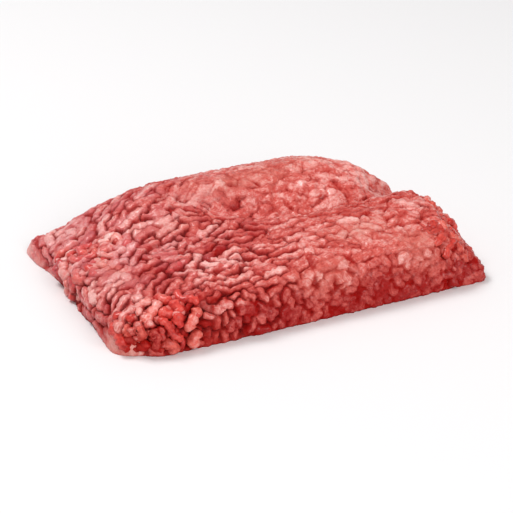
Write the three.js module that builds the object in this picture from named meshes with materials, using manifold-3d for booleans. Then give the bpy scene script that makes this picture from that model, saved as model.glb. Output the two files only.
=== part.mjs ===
// A block of minced beef: a low loaf with steep sides, covered in rows of extruded meat strands.
// Millimetres, +Z up. The origin is the middle of the flat underside, +X runs along the block's
// length and -Y is its long front side.
//
// The block is one solid. A smaller core has the block's form, and strands of true thickness are
// laid over it along the grain, the longest first, and fused to it.
import * as THREE from "three";
import { mergeVertices } from "three/addons/utils/BufferGeometryUtils.js";
import Module from "manifold-3d";

// The whole block, over its strands
const LENGTH = 215;
const WIDTH = 147;
const WALL = 4.5; // straight side at the foot, below the rounded shoulder
const SQUARENESS = 2.5; // of the shoulder's section: 2 is an ellipse, more is squarer
const CORNER_RADII = { frontLeft: 19, frontRight: 6, backRight: 15, backLeft: 6 };
const SHOULDERS = { front: 13, back: 11, left: 17.5, right: 22 };
const TO_BACK_SHOULDER = { from: -10, run: 60 };
const FROM_LEFT_SHOULDER = { from: -100, run: 40 };
const TO_RIGHT_SHOULDER = { from: 65, run: 35 };

// The top's height, and the swells and hollows in it
const TOP_HEIGHT = 27.3;
const LEAST_HEIGHT = 3;
const LEFT_FALL = { drop: 5.7, from: -45, run: 60 };
const BACK_LOBE = { rise: 11, y: 40.5, spread: 24, from: -94, run: 60, end: 104, endRun: 30 };
const FRONT_LOBE = { rise: 6.3, y: -32, spread: 34, from: -60, run: 120 };
const VALLEY = { depth: 6.8, y: 0.5, x: 50, bend: 0.0048, spread: 9.5, from: -60, run: 70 };
const NOTCH = { x: 104, y: 17, lengthways: 20, crossways: 10 };
const NOTCH_DEPTH = 17;
const BACK_TIP = { x: -107, y: 74, lengthways: 34, crossways: 44 };
const BACK_TIP_DROP = 10.5;
const FRONT_TIP = { x: 107, y: -74, lengthways: 16, crossways: 34 };
const FRONT_TIP_DROP = 16.5;
const BACK_RIGHT_FALL = { drop: 12.3, fromX: 50, runX: 50, fromY: 20, runY: 30 };

// The grain on top, in degrees from +X towards +Y, and how it turns down the long sides
const FAN = { frontLeft: 20, frontRight: -20, backLeft: 12, backRight: -6 };
const FAN_TURN = { from: -40, run: 90 };
const FAN_CROSSING = { from: 5, run: 35 };
const WAVE = { degrees: 14, lengthways: 88, crossways: 76 };
const SIDE_TURN = { from: 0.55, run: 0.3 };
const SIDE_LEAN = { amount: 0.9, every: 33 };

// Strands
const STRAND_RADII = { least: 2.15, most: 2.65 };
const STRAND_LENGTHS = [34, 24, 16, 12]; // tried in this order
const SHORTEST_SHARE = 0.8; // of the length, that a strand needs room for
const STRAND_SPACING = 6.4; // between the middles of neighbours
const CLOSEST_SHARE = 0.78; // of the spacing, where one strand stops another
const BESIDE_SHARE = 1.05; // of the spacing, where a strand's neighbours start
const PATH_STEP = 2;
const FACET_LENGTH = 14;
const STRAND_SIDES = 4;
const END_SHARE = 0.55; // of the radius, at a strand's ends
const TRIES_PER_LENGTH = 300;
const SEED = 5;

// The core under the strands
const CORE_INSET = 2.3;
const FOOT_INSET_SHARE = 0.35; // of the inset, at the foot, where the strands stop
const FOOT_HEIGHT = 6;
const CORE_BELOW_FLOOR = 5; // cut off again, so that the underside is flat
const CORE_BOX_HEIGHT = 36;
const CORE_CELLS = { length: 32, width: 28, height: 4 };
const CORE_TOLERANCE = 0.7;
const BLOCK_TOLERANCE = 0.05;

const MEAT_RED = 0xc8574e;

const { lerp, degToRad } = THREE.MathUtils;
const bell = (t) => Math.exp(-t * t);

// Rises from 0 to 1 over the run that starts at from.
const ramp = (value, { from, run }) => THREE.MathUtils.smoothstep((value - from) / run, 0, 1);

// Distance inside the outline, a rectangle whose four corners have their own radius.
function edgeDistance(x, y) {
  const corner = (y < 0 ? "front" : "back") + (x < 0 ? "Left" : "Right");
  const radius = CORNER_RADII[corner];
  const alongX = Math.abs(x) - LENGTH / 2 + radius;
  const alongY = Math.abs(y) - WIDTH / 2 + radius;
  const outside = Math.hypot(Math.max(alongX, 0), Math.max(alongY, 0));
  return radius - outside - Math.min(Math.max(alongX, alongY), 0);
}

// How far in from the outline the rounded shoulder reaches.
function shoulderWidth(x, y) {
  const across = lerp(SHOULDERS.front, SHOULDERS.back, ramp(y, TO_BACK_SHOULDER));
  const leftmost = lerp(SHOULDERS.left, across, ramp(x, FROM_LEFT_SHOULDER));
  return lerp(leftmost, SHOULDERS.right, ramp(x, TO_RIGHT_SHOULDER));
}

// 1 at the middle of an oval spot, falling off around it.
function nearness(x, y, spot) {
  return bell(Math.hypot((x - spot.x) / spot.lengthways, (y - spot.y) / spot.crossways));
}

// Height of the top over a plan point, before the shoulders round it off.
function topHeight(x, y) {
  const leftFall = LEFT_FALL.drop * ramp(-x, { from: -LEFT_FALL.from, run: LEFT_FALL.run });
  const lobeStart = ramp(x, BACK_LOBE);
  const lobeEnd = ramp(-x, { from: -BACK_LOBE.end, run: BACK_LOBE.endRun });
  const backLobe = BACK_LOBE.rise * bell((y - BACK_LOBE.y) / BACK_LOBE.spread) * lobeStart * lobeEnd;
  const frontLobe = FRONT_LOBE.rise * bell((y - FRONT_LOBE.y) / FRONT_LOBE.spread) * ramp(x, FRONT_LOBE);
  const valleyY = VALLEY.y + VALLEY.bend * (x - VALLEY.x) ** 2;
  const valley = VALLEY.depth * bell((y - valleyY) / VALLEY.spread) * ramp(x, VALLEY);
  const fallX = ramp(x, { from: BACK_RIGHT_FALL.fromX, run: BACK_RIGHT_FALL.runX });
  const fallY = ramp(y, { from: BACK_RIGHT_FALL.fromY, run: BACK_RIGHT_FALL.runY });
  const tips = BACK_TIP_DROP * nearness(x, y, BACK_TIP) + FRONT_TIP_DROP * nearness(x, y, FRONT_TIP);
  const swells = backLobe + frontLobe;
  const hollows = leftFall + valley + NOTCH_DEPTH * nearness(x, y, NOTCH);
  return TOP_HEIGHT + swells - hollows - tips - BACK_RIGHT_FALL.drop * fallX * fallY;
}

// Below 0 inside the block, 0 on its skin and above 0 outside.
function formValue(p) {
  const across = Math.max(0, 1 - edgeDistance(p.x, p.y) / shoulderWidth(p.x, p.y));
  const up = Math.max(0, p.z - WALL) / Math.max(LEAST_HEIGHT, topHeight(p.x, p.y) - WALL);
  return (across ** SQUARENESS + up ** SQUARENESS) ** (1 / SQUARENESS) - 1;
}

function formSlope(p) {
  const reach = 0.05;
  const change = (axis) => {
    const ahead = p.clone();
    const behind = p.clone();
    ahead[axis] += reach;
    behind[axis] -= reach;
    return (formValue(ahead) - formValue(behind)) / (2 * reach);
  };
  return new THREE.Vector3(change("x"), change("y"), change("z"));
}

const outward = (p) => formSlope(p).normalize();

// Moves a point along the form's own slope to the skin of the block.
function settle(p) {
  const rounds = 12;
  for (let round = 0; round < rounds; round++) {
    const slope = formSlope(p);
    p.addScaledVector(slope, -formValue(p) / Math.max(slope.lengthSq(), 1e-5));
    p.z = Math.max(p.z, 0);
  }
  return p;
}

// Repeatable random numbers between 0 and 1.
function randomSource(seed) {
  let state = seed;
  return () => {
    state = (state + 0x6d2b79f5) | 0;
    let mixed = Math.imul(state ^ (state >>> 15), 1 | state);
    mixed = (mixed + Math.imul(mixed ^ (mixed >>> 7), 61 | mixed)) ^ mixed;
    return ((mixed ^ (mixed >>> 14)) >>> 0) / 2 ** 32;
  };
}

// The way a strand runs at a point of the skin: along the block on top, fanning out at both ends, and
// down the long sides with a changing lean.
function grain(p, normal) {
  const wave = (distance, length) => Math.sin((2 * Math.PI * distance) / length);
  const towardsRight = ramp(p.x, FAN_TURN);
  const front = lerp(FAN.frontLeft, FAN.frontRight, towardsRight);
  const back = lerp(FAN.backLeft, FAN.backRight, towardsRight);
  const ripple = WAVE.degrees * wave(p.x, WAVE.lengthways) * wave(p.y, WAVE.crossways);
  const heading = degToRad(lerp(front, back, ramp(p.y, FAN_CROSSING)) + ripple);
  const onTop = new THREE.Vector3(Math.cos(heading), Math.sin(heading), 0);
  const onSide = new THREE.Vector3(SIDE_LEAN.amount * wave(p.x, SIDE_LEAN.every), 0, -1);
  const way = onTop.lerp(onSide, ramp(Math.abs(normal.y), SIDE_TURN));
  return way.addScaledVector(normal, -way.dot(normal)).normalize();
}

// The points of the strands that lie already, in cells as wide as the spacing.
class LaidPoints {
  constructor() {
    this.cells = new Map();
  }

  cellOf(p) {
    return p.toArray().map((value) => Math.floor(value / STRAND_SPACING));
  }

  add(p) {
    const key = this.cellOf(p).join();
    this.cells.set(key, [...(this.cells.get(key) ?? []), p]);
  }

  crowded(p, distance) {
    const [cellX, cellY, cellZ] = this.cellOf(p);
    for (let x = cellX - 1; x <= cellX + 1; x++) {
      for (let y = cellY - 1; y <= cellY + 1; y++) {
        for (let z = cellZ - 1; z <= cellZ + 1; z++) {
          const near = this.cells.get([x, y, z].join()) ?? [];
          if (near.some((laid) => laid.distanceTo(p) < distance)) return true;
        }
      }
    }
    return false;
  }
}

// Walks from a seed along the grain, one way, until it meets a strand or the foot.
function walk(seed, way, distance, laid) {
  const path = [];
  const p = seed.clone();
  for (let gone = PATH_STEP; gone <= distance; gone += PATH_STEP) {
    p.addScaledVector(grain(p, outward(p)), way * PATH_STEP);
    settle(p);
    if (p.z < STRAND_RADII.least || laid.crowded(p, STRAND_SPACING * CLOSEST_SHARE)) break;
    path.push(p.clone());
  }
  return path;
}

// Points on both sides of a path, where its neighbours can start.
function besidePath(path) {
  const beside = [];
  for (let i = 1; i < path.length; i += 2) {
    const along = new THREE.Vector3().subVectors(path[i], path[i - 1]).normalize();
    const across = new THREE.Vector3().crossVectors(along, outward(path[i]));
    for (const way of [-1, 1]) {
      const p = path[i].clone().addScaledVector(across, way * STRAND_SPACING * BESIDE_SHARE);
      beside.push(settle(p));
    }
  }
  return beside;
}

// A point anywhere on the skin. Those picked outside the outline settle on the sides.
function anywhereOnSkin(random) {
  const overhang = 1.1;
  const spread = (size) => (random() - 0.5) * size * overhang;
  const p = new THREE.Vector3(spread(LENGTH), spread(WIDTH), random() * CORE_BOX_HEIGHT);
  if (edgeDistance(p.x, p.y) > 0) p.z = topHeight(p.x, p.y);
  return settle(p);
}

// A path of about the wanted length through a seed, or nothing where there is no room for it.
function pathThrough(seed, length, laid, random) {
  if (seed.z < STRAND_RADII.least || laid.crowded(seed, STRAND_SPACING)) return null;
  const way = random() < 0.5 ? 1 : -1;
  const tryAhead = walk(seed, way, length * random(), laid);
  const behind = walk(seed, -way, length - tryAhead.length * PATH_STEP, laid);
  const ahead = walk(seed, way, length - behind.length * PATH_STEP, laid);
  const path = [...behind.reverse(), seed, ...ahead];
  return (path.length - 1) * PATH_STEP < length * SHORTEST_SHARE ? null : path;
}

// Paths of strands all over the skin, the longest first. Most start beside a strand that lies already,
// so that they make rows.
function strandPaths(random) {
  const laid = new LaidPoints();
  const paths = [];
  const lay = (seed, length) => {
    const path = pathThrough(seed, length, laid, random);
    if (!path) return;
    path.forEach((p) => laid.add(p));
    paths.push(path);
  };
  const layBeside = (first, length) => {
    for (let i = first; i < paths.length; i++) besidePath(paths[i]).forEach((seed) => lay(seed, length));
  };
  for (const length of STRAND_LENGTHS) {
    layBeside(0, length);
    for (let tried = 0; tried < TRIES_PER_LENGTH; tried++) {
      const known = paths.length;
      lay(anywhereOnSkin(random), length);
      layBeside(known, length);
    }
  }
  return paths;
}

// A closed geometry as a solid, its shared corners merged.
function asSolid(geometry) {
  geometry.deleteAttribute("normal");
  geometry.deleteAttribute("uv");
  const merged = mergeVertices(geometry, 1e-3);
  const mesh = new wasm.Mesh({
    numProp: 3,
    vertProperties: new Float32Array(merged.attributes.position.array),
    triVerts: new Uint32Array(merged.index.array),
  });
  return new wasm.Manifold(mesh);
}

// A few-sided cylinder with narrower ends, bent along its path so that its back touches the skin.
function strandGeometry(path, radius) {
  const curve = new THREE.CatmullRomCurve3(path);
  const length = (path.length - 1) * PATH_STEP;
  const facets = Math.max(2, Math.round(length / FACET_LENGTH));
  const geometry = new THREE.CylinderGeometry(1, 1, 1, STRAND_SIDES, facets);
  const corners = geometry.attributes.position;
  for (let i = 0; i < corners.count; i++) {
    const share = THREE.MathUtils.clamp(corners.getY(i) + 0.5, 0, 1);
    const middle = curve.getPointAt(share);
    const normal = outward(middle);
    const side = new THREE.Vector3().crossVectors(curve.getTangentAt(share), normal).normalize();
    const isEnd = share < 0.01 || share > 0.99;
    const width = radius * (isEnd ? END_SHARE : 1);
    middle.addScaledVector(normal, corners.getZ(i) * width - STRAND_RADII.most);
    middle.addScaledVector(side, corners.getX(i) * width);
    corners.setXYZ(i, middle.x, middle.y, middle.z);
  }
  return geometry;
}

// The smaller core: a box of cells whose corners are settled on the skin and then drawn in.
function coreGeometry() {
  const { length, width, height } = CORE_CELLS;
  const geometry = new THREE.BoxGeometry(LENGTH, WIDTH, CORE_BOX_HEIGHT, length, width, height);
  geometry.translate(0, 0, CORE_BOX_HEIGHT / 2);
  const corners = geometry.attributes.position;
  const point = new THREE.Vector3();
  const near = 0.01;
  for (let i = 0; i < corners.count; i++) {
    point.fromBufferAttribute(corners, i);
    const onFloor = point.z < near;
    const insideFloor = onFloor && edgeDistance(point.x, point.y) > 1;
    if (point.z > CORE_BOX_HEIGHT - near) point.z = topHeight(point.x, point.y);
    if (!insideFloor) {
      settle(point);
      const footShare = lerp(FOOT_INSET_SHARE, 1, ramp(point.z, { from: 0, run: FOOT_HEIGHT }));
      point.addScaledVector(outward(point), -CORE_INSET * footShare);
    }
    point.z = onFloor ? -CORE_BELOW_FLOOR : Math.max(point.z, 0);
    corners.setXYZ(i, point.x, point.y, point.z);
  }
  return geometry;
}

// A box under the flat underside, to cut off what hangs below it.
function belowFloor() {
  const margin = 40;
  const geometry = new THREE.BoxGeometry(LENGTH + margin, WIDTH + margin, margin);
  geometry.translate(0, 0, -margin / 2);
  return asSolid(geometry);
}

// The largest closed skin of a solid: hollows that the fusing sealed are filled, loose scraps go.
function largestSkin(solid) {
  return solid.decompose().reduce((best, skin) => (skin.volume() > best.volume() ? skin : best));
}

// Core and strands as one solid.
function minceBlock() {
  const random = randomSource(SEED);
  const { least, most } = STRAND_RADII;
  const core = asSolid(coreGeometry()).simplify(CORE_TOLERANCE);
  const asStrand = (path) => asSolid(strandGeometry(path, lerp(least, most, random())));
  const strands = strandPaths(random).map(asStrand);
  const fused = wasm.Manifold.union([core, ...strands]).subtract(belowFloor());
  return largestSkin(fused.simplify(BLOCK_TOLERANCE));
}

function asGeometry(solid) {
  const mesh = solid.getMesh();
  return new THREE.BufferGeometry()
    .setAttribute("position", new THREE.BufferAttribute(new Float32Array(mesh.vertProperties), 3))
    .setIndex(new THREE.BufferAttribute(new Uint32Array(mesh.triVerts), 1));
}

const wasm = await Module();
wasm.setup();

const meat = new THREE.MeshStandardMaterial({ color: MEAT_RED, roughness: 0.4, metalness: 0 });
const block = new THREE.Mesh(asGeometry(minceBlock()), meat);
block.name = "minced_beef";

const group = new THREE.Group();
group.add(block);

export default group;
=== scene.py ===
"""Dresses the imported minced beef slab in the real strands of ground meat.

Everything is in the part's own frame, in metres: the origin is the middle of the flat underside, +X
runs along the slab and -Y is its long front side. The form is worked out in millimetres and scaled
where a mesh is made.
"""

import logging
import math
from dataclasses import dataclass, field
from enum import Enum
from typing import Callable, Iterable

import bmesh
import bpy
import numpy as np
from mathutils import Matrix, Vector


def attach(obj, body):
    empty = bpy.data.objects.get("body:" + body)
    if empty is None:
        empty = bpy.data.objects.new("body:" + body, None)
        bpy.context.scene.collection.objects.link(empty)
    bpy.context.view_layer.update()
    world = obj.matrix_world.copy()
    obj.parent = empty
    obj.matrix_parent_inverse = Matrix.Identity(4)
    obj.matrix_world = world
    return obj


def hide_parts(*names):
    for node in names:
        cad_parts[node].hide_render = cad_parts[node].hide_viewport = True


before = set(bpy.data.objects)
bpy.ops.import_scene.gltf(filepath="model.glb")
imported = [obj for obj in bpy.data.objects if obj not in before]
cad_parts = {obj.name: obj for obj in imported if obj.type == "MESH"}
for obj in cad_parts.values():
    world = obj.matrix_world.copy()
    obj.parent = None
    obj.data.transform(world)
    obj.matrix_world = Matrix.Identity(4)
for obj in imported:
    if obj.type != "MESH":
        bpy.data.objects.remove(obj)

LOG = logging.getLogger("minced_beef")
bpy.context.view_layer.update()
NODE = "minced_beef"
MM = 0.001

Array = np.ndarray
Socket = bpy.types.NodeSocket
Paint = tuple[int, int, int]
Spots = tuple[tuple[float, ...], ...]

# Places on the slab's plan in mm: a weight, the middle's X and Y, and half widths along X and Y.
CORNERS_AND_VALLEY_END: Spots = (
    (-17.0, 104, 17, 20, 10),
    (-10.5, -107, 74, 34, 44),
    (-16.5, 107, -74, 16, 34),
)
DULL_MIDDLE: Spots = ((1.0, 0, 34, 52, 20), (0.5, -12, -10, 40, 26))
PRESSED: Spots = (
    (0.75, 0, 34, 38, 9),
    (0.5, -48, 14, 16, 9),
    (0.8, 42, -44, 18, 10),
    (0.7, 66, -64, 14, 9),
    (0.6, -93, -18, 10, 20),
    (0.5, 8, -68, 18, 6),
    (0.4, 52, 44, 20, 10),
)
SMEARED: Spots = ((1.0, 62, -30, 34, 30), (0.55, 0, 36, 44, 12), (0.7, 70, 8, 24, 12))
LOOSE: Spots = (
    (1.0, -92, -66, 26, 14),
    (1.0, -98, 14, 10, 22),
    (0.8, 86, -60, 12, 14),
    (0.8, -80, 14, 10, 12),
    (0.9, 103, -26, 8, 16),
)
BACK_LIP: Spots = ((1.0, -110, 62, 9, 15),)
FRONT_LIP: Spots = ((1.0, -107, -62, 9, 12),)
FRONT_CORNER: Spots = ((4.8, -100, -72, 12, 11),)
FRONT_HOLLOW: Spots = ((4.0, -68, -74, 9, 7),)
ROWS_AT_BACK: Spots = ((0.75, 46, 42, 36, 24),)
DENTS: Spots = ((2.2, -108, 26, 12, 20), (1.3, -55, 64, 16, 11), (1.6, 101, 14, 9, 12))


def ramp(value: Array, start: float, run: float) -> Array:
    """Rises smoothly from 0 to 1 over the run that begins at start."""
    t = np.clip((value - start) / run, 0.0, 1.0)
    return t * t * (3.0 - 2.0 * t)


def bell(t: Array) -> Array:
    """1 in the middle, falling off to 0 on both sides."""
    return np.exp(-t * t)


def spots(x: Array, y: Array, places: Spots, start: Array | float = 0.0) -> Array:
    """Adds up oval bells over the plan.

    Args:
        x: Plan positions along the slab, in mm.
        y: Plan positions across it, in mm.
        places: The bells.
        start: What they are added to.

    Returns:
        The sum at each position.
    """
    total = start
    for weight, middle_x, middle_y, half_x, half_y in places:
        total = total + weight * bell(np.hypot((x - middle_x) / half_x, (y - middle_y) / half_y))
    return total


def blend(low: Array, high: Array, share: Array) -> Array:
    """Mixes two values by a share from 0 to 1."""
    return low + (high - low) * share


def unit(vectors: Array) -> Array:
    """Vectors scaled to length 1."""
    return vectors / np.maximum(np.linalg.norm(vectors, axis=-1, keepdims=True), 1e-9)


@dataclass(frozen=True)
class Ripple:
    """A smooth irregular field over space, made of a few crossing waves."""

    wavelength: float
    seed: int
    waves: int = 5

    def at(self, p: Array) -> Array:
        """Values from about -1 to 1 at points in mm."""
        rng = np.random.default_rng(self.seed)
        total = np.zeros(p.shape[:-1])
        for _ in range(self.waves):
            turns = unit(rng.normal(size=3)) * 2.0 * math.pi
            way = turns / (self.wavelength * rng.uniform(0.7, 1.4))
            total += np.sin(p @ way + rng.uniform(0.0, 2.0 * math.pi))
        return total / math.sqrt(self.waves)


@dataclass(frozen=True)
class LoafForm:
    """The slab's outer form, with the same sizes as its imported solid, in mm."""

    length: float = 215.0
    width: float = 147.0
    wall: float = 4.5
    squareness: float = 2.5
    top_height: float = 27.3

    def edge(self, x: Array, y: Array) -> Array:
        """Distance inside the rounded outline."""
        radius = np.where(y < 0, np.where(x < 0, 19.0, 6.0), np.where(x < 0, 6.0, 15.0))
        along = np.abs(x) - self.length / 2 + radius
        across = np.abs(y) - self.width / 2 + radius
        outside = np.hypot(np.maximum(along, 0), np.maximum(across, 0))
        return radius - outside - np.minimum(np.maximum(along, across), 0)

    def shoulder(self, x: Array, y: Array) -> Array:
        """How far in the rounded shoulder reaches."""
        across = blend(13.0, 11.0, ramp(y, -10, 60))
        leftmost = blend(17.5, across, ramp(x, -100, 40))
        return blend(leftmost, 22.0, ramp(x, 65, 35))

    def top(self, x: Array, y: Array) -> Array:
        """Height of the top before the shoulders round it off."""
        height = self.top_height - 5.7 * ramp(-x, 45, 60)
        height = height + 11.0 * bell((y - 40.5) / 24) * ramp(x, -94, 60) * ramp(-x, -104, 30)
        height = height + 6.3 * bell((y + 32) / 34) * ramp(x, -60, 120)
        valley_y = 0.5 + 0.0048 * (x - 50) ** 2
        height = height - 6.8 * bell((y - valley_y) / 9.5) * ramp(x, -60, 70)
        height = spots(x, y, CORNERS_AND_VALLEY_END, height)
        return height - 12.3 * ramp(x, 50, 50) * ramp(y, 20, 30)

    def value(self, p: Array) -> Array:
        """Below 0 inside the slab, 0 on its skin and above 0 outside."""
        x, y, z = p[..., 0], p[..., 1], p[..., 2]
        across = np.maximum(0.0, 1.0 - self.edge(x, y) / self.shoulder(x, y))
        up = np.maximum(0.0, z - self.wall) / np.maximum(3.0, self.top(x, y) - self.wall)
        return (across**self.squareness + up**self.squareness) ** (1.0 / self.squareness) - 1.0

    def slope(self, p: Array) -> Array:
        """How the value changes along each axis."""
        reach = 0.05
        steps = np.eye(3) * reach
        change = [self.value(p + step) - self.value(p - step) for step in steps]
        return np.stack(change, axis=-1) / (2.0 * reach)

    def outward(self, p: Array) -> Array:
        """The direction out of the slab."""
        return unit(self.slope(p))

    def standoff(self, p: Array) -> tuple[Array, Array]:
        """About how far points stand out of the skin, and the way out."""
        slope = self.slope(p)
        steepness = np.maximum(np.linalg.norm(slope, axis=-1), 1e-4)
        return self.value(p) / steepness, slope / steepness[..., None]

    def settle(self, p: Array, rounds: int) -> Array:
        """Points moved to the skin along the form's slope."""
        for _ in range(rounds):
            distance, out = self.standoff(p)
            p = p - out * distance[..., None]
            p[..., 2] = np.maximum(p[..., 2], 0.0)
        return p

    def scattered(self, count: int, inset: float, rng: np.random.Generator) -> Array:
        """Points on the skin, those picked outside the outline settling on the sides.

        Args:
            count: How many points.
            inset: How far inside the outline they may start.
            rng: The random numbers to draw from.

        Returns:
            The points, in mm.
        """
        x = rng.uniform(-0.56, 0.56, 8 * count) * self.length
        y = rng.uniform(-0.58, 0.58, 8 * count) * self.width
        edge = self.edge(x, y)
        kept = np.flatnonzero(edge < inset)[:count]
        x, y, edge = x[kept], y[kept], edge[kept]
        z = np.where(edge > 0, self.top(x, y), rng.uniform(0, 34, len(x)))
        return self.settle(np.stack([x, y, z], axis=-1), 12)


@dataclass(frozen=True)
class Underside(LoafForm):
    """The flat underside, as a skin for strands to lie on."""

    def standoff(self, p: Array) -> tuple[Array, Array]:
        """Depth below the underside, and the way down."""
        down = np.zeros_like(p)
        down[..., 2] = -1.0
        return -p[..., 2], down

    def outward(self, p: Array) -> Array:
        """Straight down."""
        return self.standoff(p)[1]

    def settle(self, p: Array, rounds: int) -> Array:
        """Points moved to the flat underside."""
        p = p.copy()
        p[..., 2] = 0.0
        return p

    def scattered(self, count: int, inset: float, rng: np.random.Generator) -> Array:
        """Points all over the underside."""
        x = rng.uniform(-0.5, 0.5, count) * self.length
        y = rng.uniform(-0.5, 0.5, count) * self.width
        return np.stack([x, y, np.zeros(count)], axis=-1)


@dataclass(frozen=True)
class Grain:
    """Which way the strands run: along the slab on top, down its long sides."""

    waver: Ripple = Ripple(38.0, 3)
    fine_waver: Ripple = Ripple(15.0, 4)

    def heading(self, p: Array) -> Array:
        """Angle on top from +X towards +Y, in radians."""
        x, y = p[..., 0], p[..., 1]
        front = blend(32.0, blend(2.0, -16.0, ramp(x, 10, 80)), ramp(x, -100, 75))
        back = blend(20.0, -10.0, ramp(x, -70, 110))
        turn = 15.0 * self.waver.at(p) + 13.0 * self.fine_waver.at(p)
        return np.radians(blend(front, back, ramp(y, 0, 40)) + turn)

    def way(self, p: Array, normal: Array, turn: Array) -> Array:
        """The unit direction of strands that lie on a skin.

        Args:
            p: Points on the skin, in mm.
            normal: The way out of the skin there.
            turn: An extra turn of each strand about the normal, in radians.

        Returns:
            Directions in the skin, one a point.
        """
        angle = self.heading(p)
        on_top = np.stack([np.cos(angle), np.sin(angle), np.zeros_like(angle)], axis=-1)
        drift = 0.9 * self.fine_waver.at(p)
        on_side = np.stack([drift, np.zeros_like(angle), -np.ones_like(angle)], axis=-1)
        side_share = ramp(np.abs(normal[..., 1]), 0.5, 0.3)[..., None]
        mixed = blend(on_top, on_side, side_share)
        flat = unit(mixed - normal * np.sum(mixed * normal, axis=-1, keepdims=True))
        across = np.cross(normal, flat)
        return flat * np.cos(turn)[..., None] + across * np.sin(turn)[..., None]


@dataclass(frozen=True)
class Strand:
    """One strand of minced meat: its path over a skin in mm, and its radius."""

    path: Array
    radius: float

    def middle(self) -> Array:
        """The mean place of its points."""
        return self.path.mean(axis=0)

    def gone(self) -> Array:
        """How far along it each of its points is."""
        steps = np.linalg.norm(np.diff(self.path, axis=0), axis=1)
        return np.concatenate([[0.0], np.cumsum(steps)])

    def places(self, along: Array) -> Array:
        """Its points at distances along it."""
        gone = self.gone()
        return np.stack([np.interp(along, gone, self.path[:, axis]) for axis in range(3)], axis=-1)


@dataclass
class RoomMap:
    """A grid of small cells that remembers where strands lie."""

    spacing: float
    closest: float = 0.8
    cell: float = 0.5
    low: Array = field(default_factory=lambda: np.array([-114.0, -80.0, -8.0]))
    shape: tuple[int, int, int] = (456, 320, 112)

    def __post_init__(self) -> None:
        """Sets up an empty grid and the balls that a point fills."""
        self.cells = np.zeros(math.prod(self.shape), dtype=np.uint8)
        self.near = self.ball(self.spacing)
        self.touching = self.ball(self.spacing * self.closest)

    def shared(self, spacing: float) -> "RoomMap":
        """The same grid, for strands laid at another spacing."""
        other = RoomMap(spacing, self.closest)
        other.cells = self.cells
        return other

    def flat(self, index: Array) -> Array:
        """Cell numbers as places in the flat grid."""
        return (index[..., 0] * self.shape[1] + index[..., 1]) * self.shape[2] + index[..., 2]

    def ball(self, radius: float) -> Array:
        """Steps from a cell to all cells within a radius."""
        reach = int(radius / self.cell)
        axis = np.arange(-reach, reach + 1)
        steps = np.stack(np.meshgrid(axis, axis, axis, indexing="ij"), axis=-1).reshape(-1, 3)
        return self.flat(steps[np.linalg.norm(steps, axis=1) * self.cell < radius])

    def places(self, p: Array) -> Array:
        """The cell of each point."""
        index = np.floor((p - self.low) / self.cell).astype(np.int64)
        margin = len(np.arange(0, self.spacing, self.cell)) + 1
        return self.flat(np.clip(index, margin, np.array(self.shape) - 1 - margin))

    def mark(self, places: Array) -> None:
        """Fills the room round the points of a strand."""
        near = (places[:, None] + self.near).ravel()
        self.cells[near] = np.maximum(self.cells[near], 1)
        self.cells[(places[:, None] + self.touching).ravel()] = 2


@dataclass
class StrandBed:
    """Strands laid evenly on a skin along the grain, each as a path of points in mm."""

    skin: LoafForm
    grain: Grain
    lengths: tuple[tuple[float, float], ...]
    radius: tuple[float, float]
    seed: int
    count: int = 9000
    wander: float = 14.0
    curl: float = 2.2
    inset: float = 100.0
    foot: float = 1.4
    step: float = 1.3
    steps: int = 8
    allowed: Callable[[Array], Array] | None = None

    def walked(self, rng: np.random.Generator) -> Array:
        """Walks both ways from scattered points.

        Args:
            rng: The bed's random numbers.

        Returns:
            Points by strand and step, the start in the middle.
        """
        start = self.skin.scattered(self.count, self.inset, rng)
        start = start[np.argsort(start[:, 1] + 0.2 * start[:, 0] + rng.normal(0, 5, len(start)))]
        turn = np.radians(rng.normal(0, self.wander, len(start)))
        curl = np.radians(rng.normal(0, self.curl, len(start)))
        ways = []
        for sign in (-1.0, 1.0):
            p = start
            points = []
            for number in range(self.steps):
                normal = self.skin.outward(p)
                way = self.grain.way(p, normal, turn + sign * curl * number * self.step)
                p = self.skin.settle(p + way * sign * self.step, 2)
                points.append(p)
            ways.append(points)
        return np.stack([*ways[0][::-1], start, *ways[1]], axis=1)

    def lay(self, room: RoomMap) -> list[Strand]:
        """Picks the strands that have room, the longest first.

        Args:
            room: What is taken already. It is filled with the strands laid here.

        Returns:
            The strands.
        """
        rng = np.random.default_rng(self.seed)
        walks = self.walked(rng)
        places = room.places(walks)
        usable = (walks[..., 2] > self.foot) & (self.skin.edge(walks[..., 0], walks[..., 1]) > -0.5)
        if self.allowed is not None:
            usable &= self.allowed(walks)
        middle = self.steps
        strands = []
        for turn, (least, most) in enumerate(self.lengths):
            filling = min(turn, 1)
            open_starts = (room.cells[places[:, middle]] <= filling) & usable[:, middle]
            for number in np.flatnonzero(open_starts):
                if room.cells[places[number, middle]] > filling:
                    continue
                free = usable[number] & (room.cells[places[number]] < 2)
                blocked = np.flatnonzero(~free)
                low = blocked[blocked < middle].max(initial=-1) + 1
                high = blocked[blocked > middle].min(initial=2 * middle + 1) - 1
                wanted = rng.uniform(least, most)
                if (high - low) * self.step < least:
                    continue
                points = max(2, int(round(wanted / self.step)) + 1)
                begin = middle - rng.integers(0, points)
                begin = int(np.clip(begin, low, max(low, high - points + 1)))
                end = min(high, begin + points - 1)
                room.mark(places[number, begin : end + 1])
                strands.append(Strand(walks[number, begin : end + 1], rng.uniform(*self.radius)))
        return strands


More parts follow.
